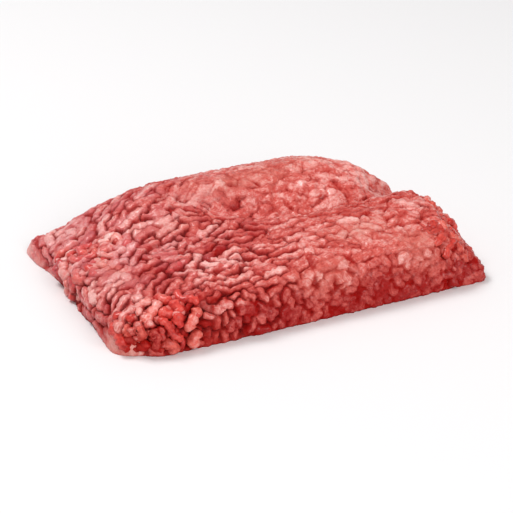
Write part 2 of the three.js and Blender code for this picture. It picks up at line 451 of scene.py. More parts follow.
@dataclass
class StrandShape:
    """Turns a path into a lumpy strand with rounded ends."""

    skin: LoafForm
    proudness: float = 0.2
    sides: int = 8
    ring_gap: float = 1.9
    lumps: float = 0.13
    heave: float = 0.45
    sway: float = 0.35
    dip: float = 0.3
    proud: float = 0.25
    squeeze: float = 0.45
    pressed: Callable[[Array], Array] | None = None

    def rings(self, strand: Strand) -> tuple[Array, Array, Array]:
        """Spaces rings along a strand, with two narrower ones at each end.

        Args:
            strand: The strand.

        Returns:
            The rings' middles, their place along the strand and their share of the radius.
        """
        path = strand.path
        length = strand.gone()[-1]
        body = np.linspace(0.0, length, max(2, int(round(length / self.ring_gap)) + 1))
        cap = strand.radius * 0.8
        along = np.concatenate([[-cap, -cap * 0.72], body, [length + cap * 0.72, length + cap]])
        share = np.concatenate([[0.02, 0.68], np.ones(len(body)), [0.68, 0.02]])
        share[2] *= 0.96
        share[-3] *= 0.96
        middles = strand.places(np.clip(along, 0.0, length))
        first = unit(path[0] - path[1])
        last = unit(path[-1] - path[-2])
        middles += np.maximum(-along, 0.0)[:, None] * first
        middles += np.maximum(along - length, 0.0)[:, None] * last
        return middles, along, share

    def mesh(self, strand: Strand, rng: np.random.Generator) -> tuple[Array, Array]:
        """Makes one strand's points.

        Args:
            strand: The strand.
            rng: The piece's random numbers.

        Returns:
            Points by ring and side, and each ring's place along the strand.
        """
        middles, along, share = self.rings(strand)
        normal = self.skin.outward(middles)
        tangent = unit(np.gradient(middles, axis=0))
        side = unit(np.cross(tangent, normal))
        radius = strand.radius
        waves = rng.uniform(0, 2 * math.pi, 4)
        sway = self.sway * np.sin(along / rng.uniform(1.3, 2.2) + waves[0])
        heave = self.heave * (1.0 + float(loose_places(middles).mean()))
        dip = self.dip * np.sin(along / rng.uniform(1.6, 3.0) + waves[1])
        dip = dip + rng.uniform(-heave, 0.8 * heave)
        lumpy = 1.0 + self.lumps * np.sin(along / rng.uniform(0.5, 0.9) + waves[2])
        width = radius * share * lumpy
        sunk = radius - self.proudness - dip + corner_dent(middles)
        middles = middles + side * sway[:, None] - normal * sunk[:, None]
        angles = (np.arange(self.sides) + 0.5) / self.sides * 2 * math.pi - math.pi / 2
        uneven = 1.0 + 0.07 * np.sin(2 * angles[None, :] + along[:, None] * 0.9 + waves[3])
        across = np.cos(angles)[None, :] * width[:, None] * uneven * 1.04
        out = np.sin(angles)[None, :] * width[:, None] * uneven
        sideways = side[:, None] * across[..., None]
        points = middles[:, None] + sideways + normal[:, None] * out[..., None]
        return self.flattened(points, rng), along

    def flattened(self, points: Array, rng: np.random.Generator) -> Array:
        """Presses what stands too far out of the skin, and what hangs below the floor.

        Args:
            points: The strand's points, in mm.
            rng: The piece's random numbers.

        Returns:
            The pressed points.
        """
        distance, out = self.skin.standoff(points)
        firm = np.zeros_like(distance) if self.pressed is None else self.pressed(points)
        limit = blend(self.proud, -0.35, firm)
        keep = blend(self.squeeze, 0.12, firm)
        excess = np.maximum(distance - limit, 0.0)
        points = points - out * (excess * (1.0 - keep))[..., None]
        floor = rng.uniform(0.02, 0.2)
        points[..., 2] = np.maximum(points[..., 2], floor + 0.02 * np.minimum(points[..., 2], 0.0))
        return points


class Tone(Enum):
    """How a kind of strand is coloured, as the middle and spread of its tone."""

    LEAN = (0.45, 0.09)
    BRIGHT = (0.24, 0.1)
    PINK = (0.5, 0.08)
    FAT = (0.78, 0.08)


def regional_tone_and_painted_light(p: Array) -> Array:
    """How much paler or redder the meat is by place.

    Args:
        p: Points in mm.

    Returns:
        What is added to the tone: more where the meat was pressed, and at the right back as partly
            painted sheen and partly a film of fat; less low on the front side, as painted shade of
            the side facing away from the key light.
    """
    x, y, z = p[..., 0], p[..., 1], p[..., 2]
    # Painted shade: the tone drops low on the front side, which faces away from the key light, so
    # it reads darker and redder.
    low = ramp(-z, -28, 20) * ramp(-y, 20, 40) * (0.47 - 0.33 * ramp(-x, 30, 40))
    low = low + 0.07 * (ramp(-y, 45, 12) * ramp(x, -50, 30))
    tone = 0.08 - low + 0.1 * pressed_places(p) - 0.16 * loose_places(p) * (x > 0)
    # Partly painted sheen at a grazing angle and partly a film of fat: the right back is made
    # paler.
    tone = tone + 0.06 * (ramp(x, 30, 40) * ramp(y, 0, 20))
    return tone - 0.13 * spots(x, y, DULL_MIDDLE)


def pressed_places(p: Array) -> Array:
    """Where the wrapping pressed the strands flat, from 0 to 1."""
    flat = spots(p[..., 0], p[..., 1], PRESSED)
    return np.clip(flat, 0.0, 1.0) * ramp(p[..., 2], 9, 8)


def wrapped_places(p: Array) -> Array:
    """Where the outline is smooth because the wrapping was tight, from 0 to 1."""
    return ramp(p[..., 1], 20, 30) * ramp(-p[..., 0], -96, 24)


def lip_places(p: Array) -> Array:
    """Where the foot of the left end was smeared into a smooth, pale lip, from 0 to 1."""
    x, y, z = p[..., 0], p[..., 1], p[..., 2]
    lips = spots(x, y, BACK_LIP) * ramp(-z, -8, 5) + spots(x, y, FRONT_LIP) * ramp(-z, -13, 7)
    return np.clip(1.5 * lips, 0.0, 1.0)


def smeared_places(p: Array) -> Array:
    """Where the strands were smeared into patches, from 0 to 1."""
    return np.clip(spots(p[..., 0], p[..., 1], SMEARED), 0.0, 1.0)


def loose_places(p: Array) -> Array:
    """Where strands stand out loosely, from 0 to 1."""
    return np.clip(spots(p[..., 0], p[..., 1], LOOSE), 0.0, 1.0)


def corner_dent(p: Array) -> Array:
    """How far the front left corner's foot is pushed in, in mm."""
    return spots(p[..., 0], p[..., 1], FRONT_CORNER) * ramp(-p[..., 2], -22, 16)


# The three faces that close an eight-sided tip.
TIP = np.array([[0, 1, 2, 3], [0, 3, 4, 7], [4, 5, 6, 7]])


@dataclass
class StrandMesh:
    """Many strands joined into one mesh, from arrays."""

    name: str
    shape: StrandShape
    tone: Tone
    seed: int

    def build(self, strands: Iterable[Strand]) -> bpy.types.Object:
        """Joins the strands.

        Args:
            strands: The strands.

        Returns:
            The finished object, with its colours' attributes and no material.
        """
        rng = np.random.default_rng(self.seed)
        sides = self.shape.sides
        points, quads, tones, alongs, arounds = [], [], [], [], []
        begin = 0
        here = np.arange(sides)
        following = (here + 1) % sides
        for strand in strands:
            skin, along = self.shape.mesh(strand, rng)
            rings = len(skin)
            ring = begin + sides * np.arange(rings - 1)[:, None]
            ahead = ring + sides
            corners = [ring + here, ahead + here, ahead + following, ring + following]
            quads.append(np.stack(corners, axis=-1).reshape(-1, 4))
            quads.append(begin + TIP)
            quads.append(begin + (rings - 1) * sides + TIP[:, ::-1])
            tone = rng.normal(*self.tone.value) + regional_tone_and_painted_light(strand.middle())
            points.append(skin.reshape(-1, 3))
            tones.append(np.full(rings * sides, tone))
            alongs.append(np.repeat(along + rng.uniform(0, 400), sides))
            arounds.append(np.tile(here / sides, rings))
            begin += rings * sides
        where = np.concatenate(points)
        piece = joined_object(self.name, where, np.concatenate(quads))
        distance, _ = self.shape.skin.standoff(where)
        values = {
            "tone": np.concatenate(tones),
            "along": np.concatenate(alongs),
            "around": np.concatenate(arounds),
            # Depth below the skin; the material darkens deeper points as painted shade.
            "depth": np.clip(-distance / 5.0, 0.0, 1.0),
            "press": pressed_places(where),
            # No painted groove shade on the separate strands.
            "seam": np.zeros(len(where)),
        }
        keep_values(piece, values)
        return piece


def joined_object(name: str, points: Array, quads: Array) -> bpy.types.Object:
    """Makes an object of four-sided faces from arrays.

    Args:
        name: The object's name.
        points: Corner positions, in mm.
        quads: Four corner numbers a face.

    Returns:
        The object, smooth shaded and linked into the scene.
    """
    mesh = bpy.data.meshes.new(name)
    mesh.vertices.add(len(points))
    mesh.vertices.foreach_set("co", (points * MM).astype(np.float32).ravel())
    mesh.loops.add(quads.size)
    mesh.loops.foreach_set("vertex_index", quads.astype(np.int32).ravel())
    mesh.polygons.add(len(quads))
    mesh.polygons.foreach_set("loop_start", np.arange(0, quads.size, 4, dtype=np.int32))
    mesh.update(calc_edges=True)
    mesh.validate()
    mesh.shade_smooth()
    piece = bpy.data.objects.new(name, mesh)
    bpy.context.scene.collection.objects.link(piece)
    return piece


def keep_values(piece: bpy.types.Object, values: dict[str, Array]) -> None:
    """Keeps a value a point on a piece's mesh, for its material.

    Args:
        piece: The piece.
        values: The values of its points, by the name that the material reads.
    """
    for name, value in values.items():
        attribute = piece.data.attributes.new(name, "FLOAT", "POINT")
        attribute.data.foreach_set("value", value.astype(np.float32))


def dress(piece: bpy.types.Object, material: bpy.types.Material) -> None:
    """Gives a piece its material and its place in the part.

    Args:
        piece: The piece.
        material: Its finish.
    """
    piece.data.materials.clear()
    piece.data.materials.append(material)
    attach(piece, "root")
    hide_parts(NODE)
    LOG.info("%s: %d faces", piece.name, len(piece.data.polygons))


def colour(red: int, green: int, blue: int) -> tuple[float, float, float, float]:
    """A screen colour from 0 to 255 as the linear colour that a shader takes."""

    def linear(value: int) -> float:
        """One of its three values."""
        share = value / 255.0
        return share / 12.92 if share <= 0.04045 else ((share + 0.055) / 1.055) ** 2.4

    return linear(red), linear(green), linear(blue), 1.0


class NodeKit:
    """Adds nodes to a tree and joins them."""

    def __init__(self, tree: bpy.types.NodeTree) -> None:
        """Keeps the tree to build in."""
        self.tree = tree

    def add(self, kind: str, **settings: object) -> bpy.types.Node:
        """A new node with its own settings."""
        node = self.tree.nodes.new(kind)
        for name, value in settings.items():
            setattr(node, name, value)
        return node

    def feed(self, socket: Socket, value: object) -> None:
        """Sets a socket to a value, or joins it to another node's socket."""
        if isinstance(value, Socket):
            self.tree.links.new(value, socket)
        else:
            socket.default_value = value

    def maths(self, operation: str, *values: object) -> Socket:
        """The result of a maths node."""
        node = self.add("ShaderNodeMath", operation=operation)
        for socket, value in zip(node.inputs, values):
            self.feed(socket, value)
        return node.outputs[0]

    def times(self, *values: object) -> Socket:
        """The product of two values."""
        return self.maths("MULTIPLY", *values)

    def mix(self, share: object, low: object, high: object) -> Socket:
        """Two colours mixed by a share."""
        node = self.add("ShaderNodeMix", data_type="RGBA", clamp_factor=True)
        self.feed(node.inputs["Factor"], share)
        self.feed(node.inputs[6], low)
        self.feed(node.inputs[7], high)
        return node.outputs[2]

    def noise(self, vector: Socket, scale: float, detail: float, roughness: float = 0.5) -> Socket:
        """Noise values.

        Args:
            vector: Where the noise is read.
            scale: How fine it is.
            detail: How many finer layers it has.
            roughness: How strong they are.

        Returns:
            The values, mostly from 0.3 to 0.7.
        """
        node = self.add("ShaderNodeTexNoise")
        self.feed(node.inputs["Vector"], vector)
        self.feed(node.inputs["Scale"], scale)
        self.feed(node.inputs["Detail"], detail)
        self.feed(node.inputs["Roughness"], roughness)
        return node.outputs["Fac"]

    def range(
        self, value: object, low: float, high: float, first: float = 0.0, last: float = 1.0
    ) -> Socket:
        """Moves a value from one range to another and holds it inside it.

        Args:
            value: The value.
            low: Where it gives first.
            high: Where it gives last.
            first: One end of what comes out.
            last: The other end.

        Returns:
            The new value.
        """
        node = self.add("ShaderNodeMapRange", clamp=True)
        for socket, given in zip(node.inputs, (value, low, high, first, last)):
            self.feed(socket, given)
        return node.outputs[0]

    def attribute(self, name: str) -> Socket:
        """A value kept on the mesh."""
        return self.add("ShaderNodeAttribute", attribute_name=name).outputs["Fac"]


# The last colour is a near-black red laid along the grooves between strands as painted shade; the
# last value is the mask that places it.
COLOUR_INPUTS = ("Deep", "Lean", "Pale", "Pressed", "Cool", "Gap")
VALUE_INPUTS = ("Tone", "Depth", "Press", "Along", "Around", "Seam")


@dataclass(frozen=True)
class GroundMeatPattern:
    """The shared look of ground meat: fibres, mottling and pale streaks, with painted highlights on
    the crests and painted shade in the hollows and along the grooves.
    """

    name: str = "Ground meat pattern"

    def group(self) -> bpy.types.NodeTree:
        """Builds the pattern once, and gives the same one after that.

        Returns:
            The node group.
        """
        known = bpy.data.node_groups.get(self.name)
        if known:
            return known
        tree = bpy.data.node_groups.new(self.name, "ShaderNodeTree")
        for label in COLOUR_INPUTS:
            tree.interface.new_socket(label, in_out="INPUT", socket_type="NodeSocketColor")
        for label in VALUE_INPUTS:
            tree.interface.new_socket(label, in_out="INPUT", socket_type="NodeSocketFloat")
        tree.interface.new_socket("Colour", in_out="OUTPUT", socket_type="NodeSocketColor")
        for label in ("Roughness", "Wet", "Height"):
            tree.interface.new_socket(label, in_out="OUTPUT", socket_type="NodeSocketFloat")
        kit = NodeKit(tree)
        given = kit.add("NodeGroupInput").outputs
        made = kit.add("NodeGroupOutput").inputs
        place = kit.add("ShaderNodeTexCoord").outputs["Object"]
        fibre_vector = kit.add("ShaderNodeCombineXYZ")
        kit.feed(fibre_vector.inputs[0], kit.times(given["Along"], 0.22))
        kit.feed(fibre_vector.inputs[1], kit.times(given["Around"], 5.0))
        kit.feed(fibre_vector.inputs[2], given["Tone"])
        fibre = kit.noise(fibre_vector.outputs[0], 2.0, 3.0)
        blotch = kit.noise(place, 160.0, 3.0)
        crumb = kit.noise(place, 620.0, 3.0, 0.6)
        grit = kit.noise(place, 1500.0, 2.0)
        cloud = kit.noise(place, 45.0, 2.0)
        varied = given["Tone"]
        for value, low, high, first, last in (
            (blotch, 0.3, 0.7, -0.13, 0.13),
            # Painted highlight on the crests, partly a real smear of fat, and slightly darker
            # colour lower down as painted shade.
            (given["Depth"], 0.0, 0.14, 0.13, -0.06),
            (fibre, 0.3, 0.7, -0.14, 0.14),
            (cloud, 0.35, 0.65, -0.09, 0.09),
            (crumb, 0.3, 0.7, -0.15, 0.15),
        ):
            varied = kit.maths("ADD", varied, kit.range(value, low, high, first, last))
        lean = kit.mix(kit.range(varied, 0.0, 0.45), given["Deep"], given["Lean"])
        pale = kit.mix(kit.range(varied, 0.46, 1.05), lean, given["Pale"])
        press = kit.times(given["Press"], kit.range(blotch, 0.25, 0.6, 0.15, 0.65))
        pressed = kit.mix(press, pale, given["Pressed"])
        where = kit.add("ShaderNodeSeparateXYZ")
        kit.feed(where.inputs[0], place)
        leftward = kit.range(where.outputs[0], 0.02, -0.075)
        backward = kit.range(where.outputs[1], -0.08, -0.01)
        patch = kit.range(kit.noise(place, 75.0, 2.0), 0.35, 0.6, 0.06, 0.36)
        cooled = kit.mix(kit.times(kit.times(leftward, backward), patch), pressed, given["Cool"])
        # Painted shade, partly the real deep red of wet meat: the deeper below the skin, the more
        # the colour turns to the deep red.
        sunk = kit.mix(kit.range(given["Depth"], 0.18, 0.7, 0.0, 0.8), cooled, given["Deep"])
        # Painted shade: the grooves between strands are darkened towards a near-black red.
        kit.feed(made["Colour"], kit.mix(kit.times(given["Seam"], 0.82), sunk, given["Gap"]))
        kit.feed(made["Roughness"], kit.range(crumb, 0.3, 0.7, 0.3, 0.56))
        crest = kit.range(given["Depth"], 0.05, 0.35, 1.0, 0.0)
        kit.feed(made["Wet"], kit.times(crest, kit.range(blotch, 0.3, 0.6, 0.3, 1.0)))
        height = kit.maths("ADD", kit.times(crumb, 0.9), kit.times(grit, 0.3))
        kit.feed(made["Height"], kit.maths("ADD", height, kit.times(fibre, 0.7)))
        return tree


@dataclass(frozen=True)
class MeatFinish:
    """One kind of raw meat, as a moist and slightly translucent surface."""

    name: str
    # Deep red of lean meat, also laid into the hollows as painted shade.
    deep: Paint = (158, 14, 10)
    lean: Paint = (206, 88, 79)
    pale: Paint = (250, 194, 186)
    pressed: Paint = (208, 128, 113)
    cool: Paint = (196, 116, 126)
    # Near-black red for painted shade along the grooves between strands.
    gap: Paint = (92, 10, 14)
    wet: float = 0.6
    relief: float = 0.5

    def material(self) -> bpy.types.Material:
        """Builds the material.

        Returns:
            The finished material.
        """
        made = bpy.data.materials.new(self.name)
        made.use_nodes = True
        made.node_tree.nodes.clear()
        kit = NodeKit(made.node_tree)
        pattern = kit.add("ShaderNodeGroup", node_tree=GroundMeatPattern().group())
        for label in COLOUR_INPUTS:
            kit.feed(pattern.inputs[label], colour(*getattr(self, label.lower())))
        for label in VALUE_INPUTS:
            kit.feed(pattern.inputs[label], kit.attribute(label.lower()))
        shader = kit.add("ShaderNodeBsdfPrincipled")
        settings = {
            "Base Color": pattern.outputs["Colour"],
            "Roughness": pattern.outputs["Roughness"],
            "IOR": 1.4,
            "Specular IOR Level": 0.12,
            "Subsurface Weight": 0.08,
            "Subsurface Radius": (1.0, 0.25, 0.18),
            "Subsurface Scale": 0.0015,
            "Coat Weight": kit.times(pattern.outputs["Wet"], self.wet),
            "Coat Roughness": 0.22,
        }
        for label, value in settings.items():
            kit.feed(shader.inputs[label], value)
        bump = kit.add("ShaderNodeBump")
        bump.inputs["Strength"].default_value = self.relief
        bump.inputs["Distance"].default_value = 0.0004
        kit.feed(bump.inputs["Height"], pattern.outputs["Height"])
        kit.feed(shader.inputs["Normal"], bump.outputs["Normal"])
        output = kit.add("ShaderNodeOutputMaterial")
        kit.feed(output.inputs["Surface"], shader.outputs[0])
        return made


PACKED = MeatFinish("Packed ground meat")
LEAN = MeatFinish("Lean ground meat")
BRIGHT = MeatFinish("Bright ground meat", lean=(214, 62, 56), wet=0.7)
PINK = MeatFinish("Pink ground meat", pale=(238, 164, 152), relief=0.6)
FAT = MeatFinish("Fat crumbs", lean=(226, 150, 134), pale=(238, 186, 170))
LOOSE_BRIGHT = MeatFinish("Loose bright meat", lean=(218, 64, 52), pale=(240, 150, 138), wet=0.8)
LOOSE_PALE = MeatFinish("Loose pale meat", lean=(222, 96, 82), wet=0.7)
UNDERNEATH = MeatFinish("Pressed ground meat", pale=(230, 150, 138), relief=0.35)


def near_pairs(points: Array, samples: Array, reach: float) -> Iterable[tuple[Array, Array]]:
    """Finds the samples near each point, one column of cells after another.

    Args:
        points: Where to look, in mm.
        samples: What to look for, in mm.
        reach: Size of the cells, no less than the distance that matters.

    Yields:
        Numbers of points and of samples, pair by pair.
    """
    side = 512
    low = samples.min(axis=0) - 3.0 * reach

    def key(cell: Array) -> Array:
        """One number a cell, in order along Z, then Y, then X."""
        return (cell[..., 0] * side + cell[..., 1]) * side + cell[..., 2]

    sample_keys = key(np.floor((samples - low) / reach).astype(np.int64))
    order = np.argsort(sample_keys, kind="stable")
    sample_keys = sample_keys[order]
    cells = np.floor((points - low) / reach).astype(np.int64)
    for step_x in (-1, 0, 1):
        for step_y in (-1, 0, 1):
            column = key(cells + np.array([step_x, step_y, 0]))
            first = np.searchsorted(sample_keys, column - 1, "left")
            counts = np.searchsorted(sample_keys, column + 1, "right") - first
            point = np.repeat(np.arange(len(points)), counts)
            within = np.arange(len(point)) - np.repeat(np.cumsum(counts) - counts, counts)
            yield point, order[np.repeat(first, counts) + within]


@dataclass
class Nearest:
    """The nearest strand of each point, and the nearest one but that."""

    count: int
    reach: float

    def __post_init__(self) -> None:
        """Starts with nothing found."""
        self.distance = np.full((2, self.count), self.reach)
        self.strand = np.full((2, self.count), -1)
        self.ball = np.zeros(self.count, dtype=np.int64)

    def offer(self, point: Array, distance: Array, strand: Array, ball: Array) -> None:
        """Takes in pairs of points and balls, and keeps the nearest two strands of each point.

        Args:
            point: The pairs' point numbers.
            distance: How far apart each pair is.
            strand: The balls' strand numbers.
            ball: The balls' own numbers.
        """
        for rank in (0, 1):
            held = np.flatnonzero(self.strand[rank] >= 0)
            point = np.append(point, held)
            distance = np.append(distance, self.distance[rank, held])
            strand = np.append(strand, self.strand[rank, held])
            ball = np.append(ball, self.ball[held])
        order = np.lexsort((distance, point))
        first = order[np.append(0, np.flatnonzero(np.diff(point[order])) + 1)]
        self.distance[0, point[first]] = distance[first]
        self.strand[0, point[first]] = strand[first]
        self.ball[point[first]] = ball[first]
        order = order[strand[order] != self.strand[0, point[order]]]
        if len(order):
            second = order[np.append(0, np.flatnonzero(np.diff(point[order])) + 1)]
            self.distance[1, point[second]] = distance[second]
            self.strand[1, point[second]] = strand[second]


@dataclass
class Relief:
    """How strands pressed side by side raise the skin of the mass that they are fused into."""

    heave: float = 0.42
    step: float = 0.8
    reach: float = 4.4
    crack_reach: float = 18.0
    groove: float = 1.6
    pit: float = 1.35
    clumps: Ripple = Ripple(17.0, 31, 6)
    humps: Ripple = Ripple(6.5, 32, 6)
    smears: Ripple = Ripple(16.0, 9, 6)
    wobbles: tuple[Ripple, ...] = (Ripple(5.0, 41), Ripple(5.0, 42), Ripple(5.0, 43))
    fading: Ripple = Ripple(8.0, 44, 6)

    def sampled(self, strands: list[Strand], rng: np.random.Generator) -> dict[str, Array]:
        """Balls along each strand.

        Args:
            strands: The strands on the skin.
            rng: The random numbers to draw from.

        Returns:
            For each ball its place, radius, level, tone, place along and strand number.
        """
        found: dict[str, list[Array]] = {}
        for number, strand in enumerate(strands):
            length = strand.gone()[-1]
            along = np.linspace(0.0, length, max(2, int(length / self.step) + 1))
            middle = strand.middle()
            free = 1.0 + float(loose_places(middle)) - 0.6 * float(wrapped_places(middle))
            leftward = 1.0 + 0.6 * float(ramp(-middle[0], -10, 60))
            level = rng.uniform(-self.heave, self.heave) * leftward
            level = level + 0.3 * np.sin(along / rng.uniform(0.7, 1.4) + rng.uniform(0, 6))
            centre, spread = Tone.LEAN.value
            spread = spread * (1.0 + 0.7 * float(ramp(-middle[0], -10, 50)))
            tone = rng.normal(centre, spread) + regional_tone_and_painted_light(middle)
            values = {
                "place": strand.places(along),
                "radius": np.full(len(along), strand.radius),
                "level": level * free,
                "tone": np.full(len(along), tone),
                "along": along + rng.uniform(0, 400),
                "strand": np.full(len(along), number),
            }
            for name, value in values.items():
                found.setdefault(name, []).append(value)
        return {name: np.concatenate(parts) for name, parts in found.items()}

    def cracked(self, points: Array) -> Array:
        """Cracks between patches of smeared meat.

        Args:
            points: Points on the skin, in mm.

        Returns:
            How deep the cracks are there, in mm.
        """
        seeds = LoafForm().scattered(330, 100.0, np.random.default_rng(33))
        nearest = Nearest(len(points), self.crack_reach)
        for point, seed in near_pairs(points, seeds, self.crack_reach):
            apart = np.linalg.norm(seeds[seed] - points[point], axis=-1)
            nearest.offer(point, apart + 1.5 * self.humps.at(points[point]), seed, seed)
        strength = np.clip(1.4 + 1.1 * self.fading.at(points), 0.1, 2.6)
        return strength * bell((nearest.distance[1] - nearest.distance[0]) / 0.9)

    def nearest(self, points: Array, balls: dict[str, Array]) -> Nearest:
        """Finds the two strands nearest to each point, from a place that wobbles round it.

        Args:
            points: Points on the skin, in mm.
            balls: The strands' balls.

        Returns:
            The nearest two strands.
        """
        nearest = Nearest(len(points), self.reach)
        asked = points + 0.5 * np.stack([wobble.at(points) for wobble in self.wobbles], axis=-1)
        for point, ball in near_pairs(asked, balls["place"], self.reach):
            apart = np.linalg.norm(balls["place"][ball] - asked[point], axis=-1)
            near = apart < self.reach
            point, ball, apart = point[near], ball[near], apart[near]
            nearest.offer(point, apart - 0.5 * balls["level"][ball], balls["strand"][ball], ball)
        return nearest

    def smeared(self, points: Array) -> Array:
        """How far the strands are smeared into each other, from 0 to 1."""
        smear = ramp(self.smears.at(points), 0.1, 1.1) * (1.0 - loose_places(points))
        smear = smear * (1.0 - spots(points[..., 0], points[..., 1], ROWS_AT_BACK))
        return np.maximum(smear, 0.9 * smeared_places(points))

    def temper(self, points: Array, press: Array) -> tuple[Array, Array]:
        """Where the strands stand apart and where they lie calmly.

        Args:
            points: Points on the skin, in mm.
            press: How flat they were pressed.

        Returns:
            How lively and how calm the strands are, each from 0 to 1.
        """
        x, y = points[..., 0], points[..., 1]
        lively = np.maximum(0.9 * loose_places(points), 0.85 * ramp(-x, -25, 50) * (1.0 - press))
        lively = lively * (1.0 - 0.6 * wrapped_places(points))
        calm = ramp(x, -62, 70) * ramp(-y, 44, 18)
        lively = lively * (1.0 - 0.7 * calm)
        return lively, np.maximum(calm, 0.6 * ramp(x, -50, 60) * ramp(y, -10, 30))

    def raised(self, points: Array, balls: dict[str, Array]) -> dict[str, Array]:
        """Gives each strand the room around it, with a groove where two of them meet.

        Args:
            points: Points on the skin, in mm.
            balls: The strands' balls.

        Returns:
            The height over the skin, the share of grain, and the values that the material reads.
        """
        x, y, z = points[..., 0], points[..., 1], points[..., 2]
        nearest = self.nearest(points, balls)
        first = np.maximum(nearest.distance[0], 0.0)
        across = np.clip(2.0 * first / np.maximum(first + nearest.distance[1], 0.1), 0.0, 1.0)
        # Each pair of neighbours draws its own luck from its two numbers, and some are fused.
        pair = nearest.strand.min(axis=0) * 7919 + nearest.strand.max(axis=0) * 104729
        smear = self.smeared(points)
        fused = (pair % 1009) / 1009.0 < blend(0.22, 0.5, smear)
        lip = lip_places(points)
        press = np.maximum(pressed_places(points), 0.9 * lip)
        lively, calm = self.temper(points, press)
        groove = self.groove * np.where(fused, 0.3, 1.0) * (1.0 - 0.4 * smear) * (1.0 - 0.5 * press)
        groove = groove * (1.0 + 1.3 * lively - 0.5 * calm)
        groove = groove * np.clip(1.0 + 0.45 * self.fading.at(points), 0.5, 1.5)
        groove = groove * (1.0 - 0.9 * ramp(first, 3.2, 0.8) * ramp(y, 0, 12))
        gap_start = balls["radius"][nearest.ball] - 0.3 * lively
        pits = ramp(nearest.distance[0], gap_start, 1.2) * (1.0 - 0.9 * np.maximum(smear, press))
        pits = pits * (1.0 - 0.8 * ramp(y, 0, 20) * ramp(x, -60, 30))
        roundness = blend(2.4, 1.9, lively)
        sunk = groove * (1.0 - (1.0 - across**roundness) ** (1.0 / roundness)) + self.pit * pits
        sunk = spots(x, y, FRONT_HOLLOW, sunk + self.cracked(points) * smear)
        swell = 0.45 * self.clumps.at(points) + 0.22 * self.humps.at(points)
        swell = swell * (1.0 - press) * (1.0 - 0.5 * wrapped_places(points))
        level = balls["level"][nearest.ball] * (1.0 - 0.7 * press) + swell
        sunk = sunk * (1.0 - 0.85 * lip)
        foot = 0.75 * (1.0 - ramp(z, 0.0, 3.4))
        flare = blend(0.6, 2.4, ramp(y, 0, 40)) * lip * (1.0 - ramp(z, 0.0, 7.0))
        dents = spots(x, y, DENTS) + corner_dent(points)
        # Mask of painted shade along the deep grooves where two strands meet.
        seam = ramp(across, 0.7, 0.26) * ramp(groove * (1.0 - lip), 0.8, 1.3)
        return {
            "height": blend(level + 0.1 - sunk, 0.2, foot) + flare - dents,
            # Depth of the grooves, pits, cracks and hollows; the material darkens deeper points as
            # painted shade.
            "depth": np.clip(sunk / 2.2, 0.0, 1.0),
            "tone": balls["tone"][nearest.ball] + 0.35 * lip,
            "along": balls["along"][nearest.ball],
            "around": 0.5 * across,
            "press": press,
            "grain": np.maximum(smear, calm),
            "seam": seam * (1.0 - foot) * blend(0.4, 1.0, lively),
        }


